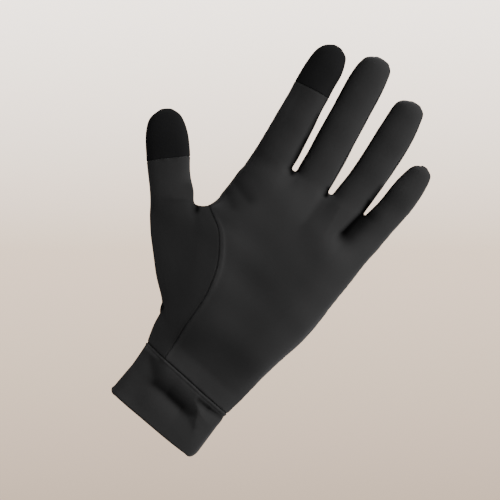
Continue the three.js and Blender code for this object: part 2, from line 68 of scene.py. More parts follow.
# lift is how far a finger's tip is raised, and cap how far up the hand its touch cap starts. skew
# is how much further up a slice's right edge lies than its left one.
FINGERS = [
    SimpleNamespace(
        name="index",
        lift=3.5,
        tip=(-29.4, 122.2),
        cap=94.3,
        slices=table(
            "up left right skew",
            (52, -37.2, -14.2),
            (57, -37.3, -14.5),
            (63.5, -37.5, -15.1),
            (70.5, -37.9, -15.8),
            (78, -38.2, -16.6),
            (86.5, -38.6, -17.8),
            (94.3, -39.2, -18.5, 2.2),
            (102, -39.7, -19.1),
            (108, -39.6, -19.3),
            (113, -39.1, -20.2),
            (117, -37.7, -21.6),
            (119.7, -35.5, -23.2),
            (121.3, -33, -26),
        ),
    ),
    SimpleNamespace(
        name="middle",
        lift=4.5,
        tip=(-5, 129.6),
        cap=None,
        slices=table(
            "up left right skew",
            (52, -11.9, 9.6),
            (57, -11.9, 9.2),
            (64, -12.1, 8.8),
            (72, -12.8, 8.3),
            (81, -13.5, 7.3),
            (91, -14.1, 6.5),
            (101, -14.9, 5.6),
            (110, -15.6, 4.9),
            (117, -15.6, 4),
            (122.5, -14.7, 3),
            (126, -13.2, 2),
            (128.3, -10, 0.1),
        ),
    ),
    SimpleNamespace(
        name="ring",
        lift=4,
        tip=(23.5, 119.4),
        cap=None,
        slices=table(
            "up left right skew",
            (52, 11.7, 32.5),
            (57, 12.5, 32.5),
            (64, 13.3, 32.9),
            (71, 13.7, 33.2),
            (79, 13.8, 33.5),
            (87.5, 13.7, 33.6),
            (96, 13.5, 33.4),
            (103.5, 13.5, 32.7),
            (109.5, 13.5, 31.7),
            (114, 14.2, 30.7),
            (116.8, 16.4, 29.6),
            (118.4, 19.4, 27.4),
        ),
    ),
    SimpleNamespace(
        name="little",
        lift=3,
        tip=(46.5, 92.9),
        cap=None,
        slices=table(
            "up left right skew",
            (52, 33.2, 51),
            (56, 34.4, 51.6),
            (61, 35.5, 52.4),
            (66.5, 36.3, 53.2),
            (72.5, 36.8, 53.7),
            (78.5, 37.6, 53.7),
            (84, 38.8, 53.4),
            (88, 40.1, 52.7),
            (90.5, 41.9, 51.6),
            (91.9, 44, 49.3),
        ),
    ),
]


def mix(a, b, share):
    return a + (b - a) * share


def rounded(share, power):
    """A coordinate of a rounded section, from the sine or cosine of the angle round it."""
    return math.copysign(abs(share) ** (2 / power), share)


def tube_slice(centre, half, mid, skew, side_angle, flatness, round_top, lean=0):
    """A slice of a finger or thumb: its lines, each with a place and a front and back height, and
    its two sides. mid is the height where it is widest, and lean turns it."""
    c, s = math.cos(math.radians(lean)), math.sin(math.radians(lean))
    up, down = (2 * share * flatness * half for share in (1 - MID_SHARE, MID_SHARE))

    def place(across):
        shift = skew / 2 * across / half
        return centre[0] + across * c - shift * s, centre[1] + across * s + shift * c

    lines = []
    for i in range(LINES):
        angle = math.radians(mix(180 - side_angle, side_angle, i / (LINES - 1)))
        high = math.sin(angle)
        at = place(half * rounded(math.cos(angle), round_top))
        front = mid + up * rounded(high, round_top)
        back = max(0, mid - down * rounded(high, ROUND_BACK))
        lines.append(SimpleNamespace(at=at, front=front, back=back))
    return SimpleNamespace(lines=lines, mid=mid, left=place(-half), right=place(half))


def finger_shape(finger):
    """A finger's slices and tip. It lifts off the ground towards its tip."""
    rows = finger.slices
    widest = max(row.right - row.left for row in rows)
    length = finger.tip[1] - rows[0].up

    def mid(up):
        lift = finger.lift * ((up - rows[0].up) / length) ** 2
        return MID_SHARE * FINGER_FLATNESS * widest + lift

    slices = []
    for i, row in enumerate(rows):
        side_angle = mix(SIDE_ANGLE_ROOT, SIDE_ANGLE_TIP, i / (len(rows) - 1))
        centre, half = ((row.left + row.right) / 2, row.up), (row.right - row.left) / 2
        shape = (side_angle, FINGER_FLATNESS, ROUND_TOP)
        slices.append(tube_slice(centre, half, mid(row.up), row.skew, *shape))
    return SimpleNamespace(slices=slices, tip=finger.tip, tip_height=mid(finger.tip[1]))


fingers = [finger_shape(finger) for finger in FINGERS]

# Form of the thumb
# A tube set in at a slant. Its slices lie square to its own axis, which leans from the hand's.
# along is measured up that axis from its root, side is the middle's shift and half the half width.
THUMB_ROOT = (-58.6, -0.7)
THUMB_LEAN = 36  # degrees to the left
THUMB_LIFT = 7  # how far its tip is raised
THUMB_LIFT_CURVE = 1.5  # exponent of that lift on the way to the tip
THUMB_FLATNESS = 0.68
THUMB_ROUND_TOP = 2.7
THUMB_TIP = (53.3, -0.6)  # along and side
THUMB_CAP = 25.6  # how far along its touch cap starts
THUMB_SLICES = table(
    "along side half skew",
    (0, 0, 12.4),
    (6.5, 0, 12.1),
    (13, -0.6, 11.7),
    (19.5, -1, 11.7),
    (25.6, -0.9, 12, 1.6),
    (32, -0.9, 12.1),
    (38, -1, 11.8),
    (43, -1.1, 10.9),
    (47, -1.1, 9.5),
    (50, -0.8, 7.4),
    (52, -0.6, 4.5),
)


def along_thumb(along, side):
    """A place measured along the thumb, as one on the hand."""
    c, s = math.cos(math.radians(THUMB_LEAN)), math.sin(math.radians(THUMB_LEAN))
    return THUMB_ROOT[0] - along * s + side * c, THUMB_ROOT[1] + along * c + side * s


def thumb_mid(along):
    widest = 2 * max(row.half for row in THUMB_SLICES)
    lift = THUMB_LIFT * (along / THUMB_TIP[0]) ** THUMB_LIFT_CURVE
    return MID_SHARE * THUMB_FLATNESS * widest + lift


thumb = SimpleNamespace(
    slices=[
        tube_slice(
            along_thumb(row.along, row.side),
            row.half,
            thumb_mid(row.along),
            row.skew,
            SIDE_ANGLE_ROOT,
            THUMB_FLATNESS,
            THUMB_ROUND_TOP,
            THUMB_LEAN,
        )
        for row in THUMB_SLICES
    ],
    tip=along_thumb(*THUMB_TIP),
    tip_height=thumb_mid(THUMB_TIP[0]),
)

# Form of the hand
# The palm and the back are filled too, thickest at the heel and thinner at the knuckles, and the
# back is flat where it lies. Rows run across from the wrist seam up to the thumb's fork: left and
# right are the outline, and seam is the thumb panel's curved seam.
WRIST_ROWS = table(
    "left seam right thick",
    ((-29.4, -71.4), (-16.5, -73.6), (29.1, -80.8), 19.9),
    ((-30.8, -65), (-16.4, -65.5), (31.8, -69.4), 18.9),
    ((-31.9, -58), (-16.3, -57), (33.8, -58), 21.1),
    ((-32.8, -51), (-16.3, -48.5), (36, -48), 24.3),
    ((-38.1, -44.5), (-16, -40), (38.2, -39), 25.9),
    ((-44.4, -38.6), (-16.2, -32), (40.7, -30.5), 26.3),
    ((-50.2, -32), (-17.2, -24.4), (42.5, -22.5), 26.5),
    ((-55.6, -25.7), (-18.8, -17.2), (43.6, -15.5), 26.6),
    ((-60.3, -20.1), (-21.7, -10.2), (44.3, -8.7), 26.6),
    ((-63.9, -15.2), (-26, -3), (44.7, -2), 26.6),
    ((-66.6, -11.3), (-32, 4), (45.3, 4.5), 26.5),
    ((-68.6, -8), (-40.8, 10), (46, 10.5), 26.3),
)
# Rows from that fork up to the forks of the fingers.
KNUCKLE_ROWS = table(
    "up left right thick",
    (16.5, -39.6, 46.6, 25.8),
    (24, -38.5, 47.3, 24.8),
    (32, -37.8, 48.2, 23.6),
    (39, -37.5, 49.4, 22.4),
    (44.5, -37.3, 50.1, 21.3),
    (48.3, -37.2, 50.6, 20.4),
)
EDGE_INSET = 1.3  # from the outline to the first line on the front and back
EDGE_RISE = 21  # width over which the palm rises from the little finger's side
BACK_RISE = 13  # width over which the back rounds down to the ground
THUMB_LIP = 0.15  # share of its height that the thumb panel rises at its edge
THUMB_LIP_WIDTH = 5
THUMB_SLOPE = 1.1  # exponent of its slope from there up to the seam
VALLEYS = (17, 19, 34)  # how far the valley below each fork runs down the palm
THUMB_VALLEY = 9  # how far the thumb's round section runs down its panel
THUMB_WEB = (-42.4, 8.9)  # the outline where the thumb's fork meets the hand
CROWN_SHARE = 0.8  # how near to its tip a finger's crown comes beside its middle line
BACK_OVERRUN = 1.05  # above 1, the back meets the ground before its rounded edge ends
VALLEY_ROUND = 1.5  # exponent of the valley below a fork
VALLEY_LEAD = 0.15  # how far above the fork the slope beside it starts, against its reach
# Where the form swells, or sinks by a height below 0: the ball of the thumb, the heel, the hollow
# of the palm and the slack left of the cuff. This sets in as the front rises from its edge.
SWELLING_START = 0.2
SWELLING_FULL = 0.8
SWELLINGS = table(
    "at across along height",
    ((-28, -20), 13, 24, 1.8),
    ((29, -30), 15, 28, 1.4),
    ((2, -14), 17, 26, -2.4),
    ((-19, -98), 9, 13, -3.2),
)


def between(a, b, share):
    return mix(a[0], b[0], share), mix(a[1], b[1], share)


def limit(value, low=0.0, high=1.0):
    return min(max(value, low), high)


def smoothstep(value, low, high):
    share = limit((value - low) / (high - low))
    return share * share * (3 - 2 * share)


def rise(inward, reach, power=2):
    """How far up a rounded edge has come, from 0 to 1, at a distance inward from it."""
    return (1 - (1 - limit(inward / reach)) ** power) ** (1 / power)


def distance_to_segment(at, start, end):
    dx, dy = end[0] - start[0], end[1] - start[1]
    along = ((at[0] - start[0]) * dx + (at[1] - start[1]) * dy) / (dx * dx + dy * dy)
    return math.dist(at, between(start, end, limit(along)))


def relief(at):
    """How far the swellings move the front."""
    return sum(
        swell.height
        * math.exp(
            -(((at[0] - swell.at[0]) / swell.across) ** 2)
            - ((at[1] - swell.at[1]) / swell.along) ** 2
        )
        for swell in SWELLINGS
    )


def palm_heights(at, thick, edges, slope=1):
    """The heights at a place, from its distances inward from edges and the reach of each."""
    mid = MID_SHARE * thick
    share = slope * math.prod(rise(*edge) for edge in edges)
    flat = math.prod(rise(edge[0], BACK_RISE) for edge in edges)
    swelling = relief(at) * smoothstep(share, SWELLING_START, SWELLING_FULL)
    front = mid + (thick - mid) * share + swelling
    return SimpleNamespace(at=at, front=front, back=max(0, mid * (1 - BACK_OVERRUN * flat)))


def blended(a, b, share):
    front, back = mix(a.front, b.front, share), mix(a.back, b.back, share)
    return SimpleNamespace(at=a.at, front=front, back=back)


root_lines = [line for shape in fingers for line in shape.slices[0].lines]
hand_end = len(root_lines) - 1
fork_up = FINGERS[0].slices[0].up
wrist_up = WRIST_ROWS[0].seam[1]
wrist_end = len(WRIST_ROWS) - 1
thumb_root = thumb.slices[0]


def hand_share(line, up):
    """Where a line of the hand crosses a row: evenly spaced at the wrist, and at the forks where
    the fingers' own lines start."""
    first, last = root_lines[0].at[0], root_lines[hand_end].at[0]
    at_fork = (root_lines[line].at[0] - first) / (last - first)
    return mix(line / hand_end, at_fork, smoothstep(up, wrist_up, fork_up))


def fork_shape(line, below):
    """What is left of the fingers' sections in the palm, at a distance below their forks: a valley
    below each fork, and an even slope from two and a half lines beside it."""
    fork = (line + 0.5) / LINES - 1
    place = limit(fork, 0, len(VALLEYS) - 1)
    reach = mix(VALLEYS[math.floor(place)], VALLEYS[math.ceil(place)], place % 1)
    from_fork = LINES * min(abs(fork - i) for i in range(len(VALLEYS)))
    even = 1 - smoothstep(below, -VALLEY_LEAD * reach, reach)
    return mix(1 - rise(below, reach, VALLEY_ROUND), even, limit((from_fork - 0.5) / 2))


def hand_lines(left, right, thick, edges_at):
    """The hand's lines across a row, from the palm's own heights up to the fingers' sections."""
    lines = []
    for i, root in enumerate(root_lines):
        at = between(left, right, hand_share(i, (left[1] + right[1]) / 2))
        heights = palm_heights(at, thick, edges_at(at))
        lines.append(blended(heights, root, fork_shape(i, fork_up - at[1])))
    return lines


def web_edge(at):
    """How far a place lies inside the end of the thumb's fork, and the reach of that edge."""
    inward = distance_to_segment(at, thumb_root.right, THUMB_WEB) + EDGE_INSET / 2
    return inward, EDGE_RISE


def near_thumb(at, root_at):
    """How much of the thumb's round section is left in its panel, at a distance from its root."""
    return 1 - rise(math.dist(at, root_at), THUMB_VALLEY)


def thumb_lines(row, number):
    """The thumb's lines across a row: even at the wrist seam, and fanned out at the fork."""
    if number == wrist_end:
        return thumb_root.lines
    width = math.dist(row.left, row.seam)
    fork_width = math.dist(WRIST_ROWS[wrist_end].left, WRIST_ROWS[wrist_end].seam)
    lines = []
    for i, root in enumerate(thumb_root.lines):
        even = mix(EDGE_INSET / width, 1, i / LINES)
        at_fork = math.dist(thumb_root.left, root.at) / fork_width
        at = between(row.left, row.seam, mix(even, at_fork, smoothstep(number, 0, wrist_end)))
        inward = math.dist(row.left, at)
        slope = mix(THUMB_LIP, 1, (inward / width) ** THUMB_SLOPE)
        heights = palm_heights(at, row.thick, [(inward, THUMB_LIP_WIDTH), web_edge(at)], slope)
        lines.append(blended(heights, root, near_thumb(at, root.at)))
    return lines


places = []  # the points of the form
cloth = []  # its faces, each with the name of the piece that covers it


def point(at, height):
    places.append((*at, height))
    return len(places) - 1


def strip(piece_at, lower, upper):
    """Faces between two rows of points, left to right."""
    for i in range(len(lower) - 1):
        cloth.append((piece_at(i), (lower[i], lower[i + 1], upper[i + 1], upper[i])))


def points_of_lines(lines):
    front = [point(line.at, line.front) for line in lines]
    back = [point(line.at, line.back) for line in lines]
    return front, back


def points_of_slice(tube):
    front, back = points_of_lines(tube.lines)
    left, right = point(tube.left, tube.mid), point(tube.right, tube.mid)
    return SimpleNamespace(front=front, back=back, left=left, right=right)


def left_side(ring):
    return [ring.front[0], ring.left, ring.back[0]]


def right_side(ring):
    return [ring.front[-1], ring.right, ring.back[-1]]


def join_rings(lower, upper, cover):
    """Faces between two rings of points. cover says which piece covers each line of the front and
    back, and the upper and lower half of the left and right side."""
    last = len(lower.front) - 2
    strip(cover.front, lower.front, upper.front)
    strip(lambda i: cover.back(last - i), lower.back[::-1], upper.back[::-1])
    strip(lambda i: cover.left[1 - i], left_side(lower)[::-1], left_side(upper)[::-1])
    strip(lambda i: cover.right[i], right_side(lower), right_side(upper))


def join_web(piece, left, right):
    """The upright strip that closes the end of a fork, from one side to the next one."""
    for i in range(len(left) - 1):
        strip(lambda _: piece, [left[i], right[i]], [left[i + 1], right[i + 1]])


def add_finger(shape, ring, cover_at):
    """Sews a finger's slices on to the ring of points at its root, and closes its tip."""
    last = len(shape.slices) - 1
    for row in range(1, last + 1):
        upper = points_of_slice(shape.slices[row])
        join_rings(ring, upper, cover_at(row - 1))
        ring = upper
    middle = shape.slices[last].lines[LINES // 2].at
    crown = []
    for line in shape.slices[last].lines[1:-1]:
        inward = 1 if line.at == middle else CROWN_SHARE
        at = [line.at[i] + (shape.tip[i] - middle[i]) * inward for i in (0, 1)]
        crown.append(point(at, shape.tip_height))
    ridge = [ring.left, *crown, ring.right]
    cover = cover_at(last)
    strip(cover.front, ring.front, ridge)
    strip(cover.back, ridge, ring.back)


def whole(piece):
    """The cover of a tube that is all one piece."""
    return SimpleNamespace(
        front=lambda _: piece, back=lambda _: piece, left=[piece, piece], right=[piece, piece]
    )


# The rows up to the thumb's fork, the thumb, the rows up to the fingers' forks, and the fingers.
wrist_rings = []
for number, row in enumerate(WRIST_ROWS):
    inset = between(row.right, row.seam, EDGE_INSET / math.dist(row.seam, row.right))
    lines = thumb_lines(row, number) + hand_lines(
        row.seam,
        inset,
        row.thick,
        lambda at: [(math.dist(at, row.right), EDGE_RISE), web_edge(at)],
    )
    front, back = points_of_lines(lines)
    edge = thumb_root.left if number == wrist_end else row.left
    left_share = near_thumb(edge, thumb_root.left)
    left = point(edge, mix(MID_SHARE * row.thick, thumb_root.mid, left_share))
    right = point(row.right, MID_SHARE * row.thick)
    wrist_rings.append(SimpleNamespace(front=front, back=back, left=left, right=right))

over_thumb = SimpleNamespace(
    front=lambda line: "thumb_panel" if line < LINES else "palm_panel",
    back=lambda line: "thumb_panel" if line < LINES else "back_panel",
    left=["thumb_panel", "thumb_panel"],
    right=["palm_panel", "back_panel"],
)
for lower, upper in zip(wrist_rings, wrist_rings[1:]):
    join_rings(lower, upper, over_thumb)

crotch = wrist_rings[wrist_end]
thumb_ring = SimpleNamespace(
    front=crotch.front[:LINES],
    back=crotch.back[:LINES],
    left=crotch.left,
    right=point(thumb_root.right, thumb_root.mid),
)
hand_ring = SimpleNamespace(
    front=crotch.front[LINES:],
    back=crotch.back[LINES:],
    left=point(THUMB_WEB, MID_SHARE * WRIST_ROWS[wrist_end].thick),
    right=crotch.right,
)
cap_row = [row.along for row in THUMB_SLICES].index(THUMB_CAP)
add_finger(thumb, thumb_ring, lambda row: whole("thumb_panel" if row < cap_row else "thumb_tip"))
join_web("thumb_panel", right_side(thumb_ring), left_side(hand_ring))

knuckle_rings = []
for row in KNUCKLE_ROWS:
    lines = hand_lines(
        (row.left + EDGE_INSET, row.up),
        (row.right - EDGE_INSET, row.up),
        row.thick,
        lambda at: [(at[0] - row.left, EDGE_RISE), (row.right - at[0], EDGE_RISE)],
    )
    front, back = points_of_lines(lines)
    sides = []
    for line, at, finger in ((0, row.left, fingers[0]), (hand_end, row.right, fingers[-1])):
        shape = fork_shape(line, fork_up - row.up)
        sides.append(point((at, row.up), mix(MID_SHARE * row.thick, finger.slices[0].mid, shape)))
    knuckle_rings.append(SimpleNamespace(front=front, back=back, left=sides[0], right=sides[1]))

root_rings = [points_of_slice(shape.slices[0]) for shape in fingers]
fork_ring = SimpleNamespace(
    front=[corner for ring in root_rings for corner in ring.front],
    back=[corner for ring in root_rings for corner in ring.back],
    left=root_rings[0].left,
    right=root_rings[-1].right,
)
over_hand = SimpleNamespace(
    front=lambda _: "palm_panel",
    back=lambda _: "back_panel",
    left=["palm_panel", "back_panel"],
    right=["palm_panel", "back_panel"],
)
hand_rings = [hand_ring, *knuckle_rings, fork_ring]
for lower, upper in zip(hand_rings, hand_rings[1:]):
    join_rings(lower, upper, over_hand)


def fourchette_after(number):
    """The strip that runs down a finger, round the fork and up the next one."""
    return f"fourchette_{FINGERS[number].name}_{FINGERS[number + 1].name}"


def finger_cover(number, row):
    """The pieces round a finger above a slice: palm in front, back behind, fourchettes between."""
    finger = FINGERS[number]
    if finger.cap and finger.slices[row].up >= finger.cap:
        return whole(f"{finger.name}_tip")
    outer = ["palm_panel", "back_panel"]
    closed = row == len(finger.slices) - 1
    cover = SimpleNamespace(
        front=lambda _: outer[0], back=lambda _: outer[1], left=outer, right=outer
    )
    if number > 0 and not closed:
        cover.left = [fourchette_after(number - 1)] * 2
    if number < len(FINGERS) - 1 and not closed:
        cover.right = [fourchette_after(number)] * 2
    return cover


for number, shape in enumerate(fingers):
    add_finger(shape, root_rings[number], lambda row: finger_cover(number, row))
    if number + 1 < len(fingers):
        web = fourchette_after(number)
        join_web(web, right_side(root_rings[number]), left_side(root_rings[number + 1]))

# Form of the cuff
# The band of jersey below the wrist seam, folded back double at its open end. It lies slack and a
# little flatter than the heel. Rows run down it from the seam.
CUFF_ROWS = table(
    "left right thick",
    ((-29.3, -74.3), (28.5, -83.2), 20.6),
    ((-29.2, -77.4), (28.6, -86), 21.2),
    ((-29.3, -80.7), (28.2, -89.1), 21.6),
    ((-29.4, -84), (28, -92.3), 21.9),
    ((-29.6, -87.3), (27.8, -95.5), 21.9),
    ((-30.1, -90.7), (27.6, -98.6), 22),
    ((-30.5, -94.2), (27.4, -101.8), 22),
    ((-31, -97.7), (27.2, -105), 21.9),
    ((-31.3, -100.7), (26.9, -107.9), 21.7),
    ((-31.9, -104), (26.2, -111.1), 21.5),
)
CUFF_RISE = 19
CUFF_CORNER = 1.4  # how far the open end is rounded back at its two sides

seam_row = WRIST_ROWS[0]
seam_width = math.dist(seam_row.left, seam_row.right)
cuff_shares = [math.dist(seam_row.left, places[i][:2]) / seam_width for i in wrist_rings[0].front]
upper = wrist_rings[0]
for row in CUFF_ROWS:
    lines = []
    for share in cuff_shares:
        at = between(row.left, row.right, share)
        edges = [(math.dist(row.left, at), CUFF_RISE), (math.dist(row.right, at), CUFF_RISE)]
        lines.append(palm_heights(at, row.thick, edges))
    front, back = points_of_lines(lines)
    corner = CUFF_CORNER if row is CUFF_ROWS[-1] else 0
    left, right = (
        point((side[0], side[1] + corner), MID_SHARE * row.thick) for side in (row.left, row.right)
    )
    lower = SimpleNamespace(front=front, back=back, left=left, right=right)
    join_rings(lower, upper, whole("cuff"))
    upper = lower

# Skin
# The pieces are cut with their edges on one smooth skin over the form, so that they meet at their
# seams. A seam pulls in as a groove with a soft ridge beside it, where its allowance lies inside,
# and folds press the front in along a line.
HALVINGS = 3  # times that each face of the form is halved both ways
SETTLINGS = 3  # rounds that bring the smooth skin back on to the form's own points
SEAM_CUTS = 2  # further rows beside each seam
names = list(dict.fromkeys(piece for piece, _ in cloth))

form = bpy.data.meshes.new("form")
form.from_pydata(places, [], [corners for _, corners in cloth])
number_of_piece = form.attributes.new("piece", "INT", "FACE")
number_of_piece.data.foreach_set("value", [names.index(piece) for piece, _ in cloth])
form_object = bpy.data.objects.new("form", form)
bpy.context.scene.collection.objects.link(form_object)
smoothing = form_object.modifiers.new("smoothing", "SUBSURF")


def coordinates(mesh):
    flat = np.empty(len(mesh.vertices) * 3)
    mesh.vertices.foreach_get("co", flat)
    return flat.reshape(-1, 3)


def smoothed_form(halvings):
    smoothing.levels = halvings
    form.update()
    bpy.context.view_layer.update()
    return form_object.evaluated_get(bpy.context.evaluated_depsgraph_get()).data


wanted = np.array(places)
for _ in range(SETTLINGS):
    reached = coordinates(smoothed_form(1))[: len(wanted)]
    form.vertices.foreach_set("co", (coordinates(form) + wanted - reached).ravel())

skin = bmesh.new()
skin.from_mesh(smoothed_form(HALVINGS))
bpy.data.objects.remove(form_object)
piece_layer = skin.faces.layers.int["piece"]


def seam_edges():
    return [e for e in skin.edges if len({face[piece_layer] for face in e.link_faces}) == 2]


on_seam = {vertex for edge in seam_edges() for vertex in edge.verts}
beside = [e for e in skin.edges if (e.verts[0] in on_seam) != (e.verts[1] in on_seam)]
bmesh.ops.subdivide_edges(skin, edges=beside, cuts=SEAM_CUTS)
for vertex in skin.verts:
    vertex.co.z = max(vertex.co.z, 0)
skin.verts.index_update()

# Folds: start and end, the depth there, and the widths on the left and right of that direction. A
# depth below 0 is a ridge. dark is how much painted shade a fold puts on the cloth, along the line
# and up its left side: the colour there is mixed towards near black, as if little light came.
FOLD_SHARPNESS = 1.3  # exponent of their section: 2 is a round trough, 1 a sharp one
PAINTED_SHADE_WIDTH = 1.7  # how far the painted shade reaches on the right
FOLDS = table(
    "start end depth_start depth_end left right dark",
    # Cuff: a dent that drops from the seam's side and thins out to the right, a pinch close under
    # the seam, and a ridge between them.
    ((-23.3, -76.5), (-13, -88.3), 1.2, 3.6, 5.5, 10, 0.27),
    ((-13, -88.3), (-4, -89.2), 3.6, 5.4, 5.2, 11, 0.5),
    ((-4, -89.2), (6, -91.1), 5.4, 5.2, 5.2, 11, 0.6),
    ((6, -91.1), (11.4, -91.6), 5.2, 2.8, 5.2, 7, 0.5),
    ((11.4, -91.6), (17.5, -96), 2.8, 0.5, 2, 5, 0.25),
    ((12.4, -82.7), (18.2, -83.5), 1.4, 3, 2.2, 4, 0.4),
    ((18.2, -83.5), (26.7, -83.6), 3, 1.2, 1.8, 4, 0.4),
    ((14.5, -87.5), (18.8, -98), -1, -0.4, 3.2, 1.8),
    # Wrist notch, and the thumb's fork.
    ((-31.8, -50.4), (-27, -55), 1.6, 1, 0.9, 4),
    ((-27, -55), (-22.2, -59.7), 1, 0.2, 1, 4),
    ((-47.6, 8.6), (-45.4, 4.2), 3, 1, 1.6, 0.9, 0.85),
    # Thumb panel: the end of the thumb's own tube, and its edge above the fork.
    ((-50, 7.5), (-59, 1.2), 1.2, 0.3, 18, 1.6, 0.27),
    ((-48.5, 7), (-56, 13.5), 0.4, 0, 4, 1.7, 0.3),
    # Beside the low end of the thumb's seam, mostly painted shade, and across the wrist above its
    # seam.
    ((-16.2, -34), (-16.4, -60), 0.3, 0.4, 14, 2, 0.17),
    ((-12, -63.5), (28, -69.5), 1.1, 1.1, 8, 6),
    # The palm's slope down to the index finger's side, and pleats beside the thumb's fork.
    ((-37.5, 52), (-38.5, 34), 2, 4.5, 13, 3),
    ((-38.5, 34), (-40.5, 16), 4.5, 5, 14, 3),
    ((-38, 22.5), (-30, 17), 1.2, 0.6, 3, 2, 0.22),
    ((-37.5, 29.5), (-25, 24.7), 1.5, 0.9, 4.5, 2, 0.33),
    # First fork: a narrow line of painted shade along the left of the gap and round its end, barely
    # pressed in.
    ((-17.8, 84), (-16.6, 70), 0, 0.1, 1.8, 1.8, 0.6),
    ((-16.6, 70), (-15, 52), 0.1, 0.3, 1.6, 2, 0.8),
    ((-15, 52), (-12.8, 50), 0.3, 0.3, 1.3, 1.3, 0.9),
    ((-12.8, 50), (-11.4, 53), 0.3, 0.1, 1.3, 1.3, 0.8),
    # Second fork: a pocket on the left of the gap's end, and a soft valley below it, both with
    # painted shade.
    ((8.6, 53.5), (9.3, 49.6), 0.3, 1, 1.5, 1.5, 0.95),
    ((9.3, 48), (8.4, 30), 2, 0.8, 9, 8, 0.2),
    ((19, 48), (20.5, 30), -1.4, -1, 6, 8),
    # Third fork: a crease pressed far in that runs on from the left of the gap, with painted shade
    # in it.
    ((32.4, 70), (31.2, 60), 0.1, 0.8, 1.4, 1.6, 0.7),
    ((31.2, 60), (31.2, 52), 0.8, 2.6, 2.5, 1.8, 0.95),
    ((31.2, 52), (28.4, 38.4), 2.6, 3.9, 6.5, 1.3, 0.95),
    # The front of the index finger lies in a little.
    ((-33, 93), (-31, 72), 0.8, 0.6, 14, 6, 0.16),
)


def along_fold(at, fold):
    """For each place: how far along the fold it is, from 0 to 1, how far off it, and how much of
    that is to its left, from 0 to 1."""
    start, end = np.array(fold.start), np.array(fold.end)
    way = end - start
    length = np.hypot(*way)
    share = np.clip((at - start) @ way / length**2, 0, 1)
    off = np.hypot(*(at - (start + share[:, None] * way)).T)
    to_left = (way[0] * (at - start)[:, 1] - way[1] * (at - start)[:, 0]) / length
    lean = np.divide(to_left, off, out=np.zeros(len(at)), where=off > 1e-6)
    return share, off, (1 + np.clip(lean, -1, 1)) / 2


def pressed(at):
    """How far the folds press the front in at each place, and how much painted shade they put on
    it.
    Folds that meet don't add up."""
    deepest, highest, most_painted_shade = np.zeros(len(at)), np.zeros(len(at)), np.zeros(len(at))
    for fold in FOLDS:
        share, off, left = along_fold(at, fold)
        width, painted_shade_width = mix(fold.right, fold.left, left), mix(PAINTED_SHADE_WIDTH, fold.left, left)
        depth = mix(fold.depth_start, fold.depth_end, share)
        depth *= np.exp(-((off / width) ** FOLD_SHARPNESS))
        deepest, highest = np.maximum(deepest, depth), np.minimum(highest, depth)
        most_painted_shade = np.maximum(most_painted_shade, fold.dark * np.exp(-((off / painted_shade_width) ** 2)))
    return deepest + highest, most_painted_shade


WAVES = 9  # how many waves a ripple is made of


def ripple(co, length, seed):
    """A gentle unevenness between about -1 and 1, from waves of about that length."""
    draw = np.random.default_rng(seed)
    total = np.zeros(len(co))
    for _ in range(WAVES):
        way = draw.normal(size=3)
        way *= 2 * math.pi / (np.linalg.norm(way) * length * draw.uniform(0.7, 1.5))
        total += np.sin(co @ way + draw.uniform(0, 2 * math.pi))
    return total / math.sqrt(WAVES)


UNEVEN_LENGTH = 24
UNEVEN_HEIGHT = 0.28
LYING_HEIGHT = 3  # below this the cloth nearly lies on the ground and is less uneven
UPRIGHT = 0.1  # how much a place faces up where folds start to press it in
LEVEL = 0.6  # and where they do so fully
PAINTED_SHADE_FACING = -0.3  # folds paint shade on what faces up at least this much
FAR = 50.0  # a distance from a seam at which it changes nothing
# Seams: the groove's depth and width, the ridge's height on its sides and how far off it lies, and
# the piece that is raised higher beside it.
WRIST_SEAM = SimpleNamespace(groove=0.55, width=0.45, ridge=0.05, away=1.0, high={"cuff": 0.35})
THUMB_SEAM = SimpleNamespace(groove=0.35, width=0.32, ridge=0, away=0.8, high={"palm_panel": 0.08})
FINGER_SEAM = SimpleNamespace(groove=0.25, width=0.35, ridge=0.04, away=0.8, high={})
RIDGE_WIDTH = 0.6
PUCKER_LENGTH = 4.5  # small waves where the thread gathers the cloth
PUCKER_HEIGHT = 0.1
PUCKER_REACH = 2.4
SAMPLES = 4  # places along each edge of a seam that distances are measured from


def kind_of_seam(pair):
    if "cuff" in pair:
        return WRIST_SEAM
    on_thumb = "thumb_panel" in pair and "thumb_tip" not in pair
    return THUMB_SEAM if on_thumb else FINGER_SEAM


seams = {}
for edge in seam_edges():
    pair = frozenset(names[face[piece_layer]] for face in edge.link_faces)
    seams.setdefault(pair, []).append(edge)


def level_share(upward):
    """0 where the cloth stands upright and 1 where it lies fairly level."""
    return np.clip((upward - UPRIGHT) / (LEVEL - UPRIGHT), 0, 1)


skin.normal_update()
smooth_co = np.array([vertex.co[:] for vertex in skin.verts])
smooth_normal = np.array([vertex.normal[:] for vertex in skin.verts])
upward = smooth_normal[:, 2]
drop, painted_shade_share = pressed(smooth_co[:, :2])
# The folds' painted shade goes only on cloth that faces up.
painted_shade_share *= upward > PAINTED_SHADE_FACING
folded = smooth_co - np.outer(drop * level_share(upward), (0, 0, 1))
lying = np.clip(smooth_co[:, 2] / LYING_HEIGHT, 0, 1)
uneven = UNEVEN_HEIGHT * ripple(smooth_co, UNEVEN_LENGTH, seed=3) * lying
folded += smooth_normal * (uneven * level_share(np.abs(upward)))[:, None]
for vertex, co in zip(skin.verts, folded):
    vertex.co = co
skin.normal_update()
folded_normal = np.array([vertex.normal[:] for vertex in skin.verts])

